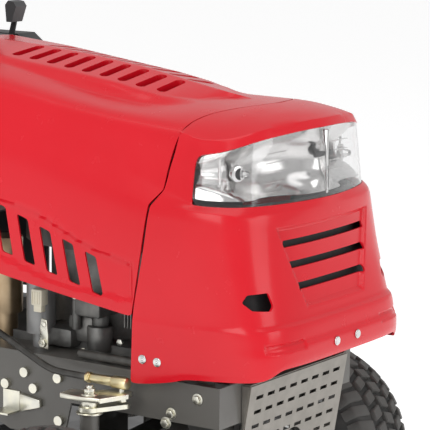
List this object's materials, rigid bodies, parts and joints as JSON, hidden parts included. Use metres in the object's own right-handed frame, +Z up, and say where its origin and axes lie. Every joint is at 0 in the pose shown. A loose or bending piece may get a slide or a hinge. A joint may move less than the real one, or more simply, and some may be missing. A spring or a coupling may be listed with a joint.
{
  "type": "riding lawn mower",
  "caption": "Front-engine riding lawn mower with a tilting hood, steered front axle, floating side-discharge deck, dash tower, fenders and a cushioned seat.",
  "frame": {"origin": "on the ground, at the centre of the machine's plan box", "axes": "+X to the tractor's left, -Y forward, +Z up"},
  "size_m": [1.04, 1.702, 1.0544],
  "materials": {
    "frame_black": "satin",
    "hood_red": "semi-gloss",
    "lens_clear": "gloss",
    "reflector": "mirror",
    "zinc": "satin",
    "bright_steel": "satin",
    "guard_steel": "satin",
    "engine_alloy": "satin",
    "engine_black": "satin",
    "starter_gold": "satin",
    "filter_grey": "satin",
    "moulded_black": "matte",
    "tank_white": "satin",
    "battery_case": "satin",
    "transaxle_alloy": "satin",
    "belt_rubber": "matte",
    "tyre_rubber": "matte",
    "rim_paint": "gloss",
    "deck_red": "gloss",
    "blade_steel": "satin",
    "fender_red": "gloss",
    "seat_vinyl": "satin",
    "key_metal": "gloss"
  },
  "bodies": {
    "chassis": {"frame_rails": "frame_black", "frame_brackets": "frame_black", "axle_hanger": "frame_black", "frame_hardware": "zinc", "battery": "battery_case", "crankcase": "engine_alloy", "blower_housing": "engine_black", "starter_motor": "starter_gold", "oil_filter": "filter_grey", "carburettor": "moulded_black", "muffler": "guard_steel", "muffler_guard": "guard_steel", "fuel_tank": "tank_white", "transaxle": "transaxle_alloy", "drive_belt": "belt_rubber", "running_boards": "frame_black", "fender_deck": "fender_red", "console": "moulded_black"},
    "axle_beam": {"axle_beam": "frame_black"},
    "knuckle_left": {"kingpin_left": "zinc"},
    "knuckle_right": {"kingpin_right": "zinc"},
    "drag_link_left": {"drag_link_left": "frame_black"},
    "drag_link_right": {"drag_link_right": "frame_black"},
    "front_wheel_left": {"front_tyre_left": "tyre_rubber", "front_rim_left": "rim_paint"},
    "front_wheel_right": {"front_tyre_right": "tyre_rubber", "front_rim_right": "rim_paint"},
    "rear_wheel_left": {"rear_tyre_left": "tyre_rubber", "rear_rim_left": "rim_paint"},
    "rear_wheel_right": {"rear_tyre_right": "tyre_rubber", "rear_rim_right": "rim_paint"},
    "sector_gear": {"sector_gear": "bright_steel"},
    "steering_pinion": {"steering_pinion": "bright_steel"},
    "steering_wheel": {"steering_shaft": "bright_steel", "steering_wheel": "moulded_black"},
    "hood": {"hood_panel": "hood_red", "nose_piece": "hood_red", "headlight_lens": "lens_clear", "headlight_reflector": "reflector", "hood_hardware": "zinc"},
    "crankshaft": {"crankshaft": "bright_steel"},
    "transaxle_pulley": {"transaxle_pulley": "bright_steel"},
    "deck": {"deck_shell": "deck_red", "deck_fittings": "bright_steel", "deck_belt": "belt_rubber"},
    "blade_left": {"blade_left": "blade_steel"},
    "blade_right": {"blade_right": "blade_steel"},
    "gauge_wheel_left": {"gauge_wheel_left": "moulded_black"},
    "gauge_wheel_right": {"gauge_wheel_right": "moulded_black"},
    "discharge_chute": {"discharge_chute": "moulded_black"},
    "pto_lever": {"pto_lever": "moulded_black"},
    "throttle_lever": {"throttle_lever": "moulded_black"},
    "ignition_key": {"ignition_key": "key_metal"},
    "brake_pedal": {"brake_pedal": "frame_black"},
    "lift_lever": {"lift_lever": "frame_black"},
    "shift_lever": {"shift_lever": "moulded_black"},
    "seat_carrier": {"seat_carrier": "frame_black"},
    "seat": {"seat_pan": "frame_black", "seat_cushion": "seat_vinyl", "seat_back": "seat_vinyl"}
  },
  "joints": [
    {"name": "axle_rock", "type": "hinge", "parent": "chassis", "child": "axle_beam", "pos_m": [0, -0.55, 0.305], "axis": [0, 1, 0], "range_deg": [-3, 3]},
    {"name": "steer_left", "type": "hinge", "parent": "axle_beam", "child": "knuckle_left", "pos_m": [0.272, -0.55, 0.3], "axis": [0, 0, 1], "range_deg": [-30, 30]},
    {"name": "steer_right", "type": "hinge", "parent": "axle_beam", "child": "knuckle_right", "pos_m": [-0.272, -0.55, 0.3], "axis": [0, 0, 1], "range_deg": [-30, 30]},
    {"name": "link_left", "type": "hinge", "parent": "knuckle_left", "child": "drag_link_left", "pos_m": [0.226, -0.58, 0.39], "axis": [0, 0, 1], "range_deg": [-30, 30]},
    {"name": "link_right", "type": "hinge", "parent": "knuckle_right", "child": "drag_link_right", "pos_m": [-0.226, -0.58, 0.39], "axis": [0, 0, 1], "range_deg": [-30, 30]},
    {"name": "sector_turn", "type": "hinge", "parent": "chassis", "child": "sector_gear", "pos_m": [0, 0.05576, 0.452], "axis": [0, 0, 1], "range_deg": [-25, 25]},
    {"name": "pinion_turn", "type": "hinge", "parent": "chassis", "child": "steering_pinion", "pos_m": [0, -0.09049, 0.452], "axis": [0, 0, 1], "range_deg": [-190, 190]},
    {"name": "steering_wheel_turn", "type": "hinge", "parent": "chassis", "child": "steering_wheel", "pos_m": [0, 0.06, 0.985], "axis": [0, 0.342, 0.9397], "range_deg": [-190, 190]},
    {"name": "front_roll_left", "type": "hinge", "parent": "knuckle_left", "child": "front_wheel_left", "pos_m": [0.371, -0.55, 0.186], "axis": [1, 0, 0], "continuous": true},
    {"name": "front_roll_right", "type": "hinge", "parent": "knuckle_right", "child": "front_wheel_right", "pos_m": [-0.371, -0.55, 0.186], "axis": [1, 0, 0], "continuous": true},
    {"name": "rear_roll_left", "type": "hinge", "parent": "chassis", "child": "rear_wheel_left", "pos_m": [0.335, 0.62, 0.228], "axis": [1, 0, 0], "continuous": true},
    {"name": "rear_roll_right", "type": "hinge", "parent": "chassis", "child": "rear_wheel_right", "pos_m": [-0.335, 0.62, 0.228], "axis": [1, 0, 0], "continuous": true},
    {"name": "hood_tilt", "type": "hinge", "parent": "chassis", "child": "hood", "pos_m": [0, -0.7, 0.446], "axis": [1, 0, 0], "range_deg": [0, 55]},
    {"name": "crank_turn", "type": "hinge", "parent": "chassis", "child": "crankshaft", "pos_m": [0, -0.4, 0.5], "axis": [0, 0, 1], "continuous": true},
    {"name": "drive_pulley_turn", "type": "hinge", "parent": "chassis", "child": "transaxle_pulley", "pos_m": [0, 0.58, 0.318], "axis": [0, 0, 1], "continuous": true},
    {"name": "deck_lift", "type": "slide", "parent": "chassis", "child": "deck", "axis": [0, 0, 1], "range_m": [0, 0.065]},
    {"name": "blade_turn_left", "type": "hinge", "parent": "deck", "child": "blade_left", "pos_m": [0.274, -0.005, 0.15], "axis": [0, 0, 1], "continuous": true},
    {"name": "blade_turn_right", "type": "hinge", "parent": "deck", "child": "blade_right", "pos_m": [-0.178, -0.005, 0.15], "axis": [0, 0, 1], "continuous": true},
    {"name": "gauge_roll_left", "type": "hinge", "parent": "deck", "child": "gauge_wheel_left", "pos_m": [0.17, 0.334, 0.06], "axis": [1, 0, 0], "continuous": true},
    {"name": "gauge_roll_right", "type": "hinge", "parent": "deck", "child": "gauge_wheel_right", "pos_m": [-0.17, 0.334, 0.06], "axis": [1, 0, 0], "continuous": true},
    {"name": "chute_lift", "type": "hinge", "parent": "deck", "child": "discharge_chute", "pos_m": [-0.432, 0, 0.14], "axis": [0, 1, 0], "range_deg": [0, 80]},
    {"name": "pto_engage", "type": "hinge", "parent": "chassis", "child": "pto_lever", "pos_m": [0.15, -0.03, 0.81], "axis": [-1, 0, 0], "range_deg": [0, 22]},
    {"name": "throttle_set", "type": "hinge", "parent": "chassis", "child": "throttle_lever", "pos_m": [-0.15, -0.03, 0.81], "axis": [-1, 0, 0], "range_deg": [0, 22]},
    {"name": "key_turn", "type": "hinge", "parent": "chassis", "child": "ignition_key", "pos_m": [-0.09, 0.11, 0.795], "axis": [0, 1, 0], "range_deg": [0, 60]},
    {"name": "pedal_press", "type": "hinge", "parent": "chassis", "child": "brake_pedal", "pos_m": [0.25, -0.1, 0.38], "axis": [1, 0, 0], "range_deg": [0, 20], "stiffness_Nm_per_rad": 20, "springref_deg": -11.46},
    {"name": "lift_lever_pull", "type": "hinge", "parent": "chassis", "child": "lift_lever", "pos_m": [0, 0.232, 0.3945], "axis": [-1, 0, 0], "range_deg": [0, 38]},
    {"name": "speed_select", "type": "hinge", "parent": "chassis", "child": "shift_lever", "pos_m": [0.3, 0.404, 0.5], "axis": [1, 0, 0], "range_deg": [-8, 8]},
    {"name": "seat_slide", "type": "slide", "parent": "chassis", "child": "seat_carrier", "axis": [0, 1, 0], "range_m": [-0.02, 0.04]},
    {"name": "seat_tilt", "type": "hinge", "parent": "seat_carrier", "child": "seat", "pos_m": [0, 0.396, 0.596], "axis": [1, 0, 0], "range_deg": [0, 55]}
  ],
  "couplings": [
    {"joint": "steer_right", "follows": "steer_left", "ratio": 1},
    {"joint": "link_left", "follows": "steer_left", "ratio": -1},
    {"joint": "link_right", "follows": "steer_left", "ratio": -1},
    {"joint": "sector_turn", "follows": "steer_left", "ratio": -0.7667},
    {"joint": "pinion_turn", "follows": "steer_left", "ratio": 6.1333},
    {"joint": "steering_wheel_turn", "follows": "steer_left", "ratio": 6.1333},
    {"joint": "drive_pulley_turn", "follows": "crank_turn", "ratio": 0.7167},
    {"joint": "blade_turn_right", "follows": "blade_turn_left", "ratio": 1},
    {"joint": "lift_lever_pull", "follows": "deck_lift", "rad_per_m": 9.9357}
  ]
}
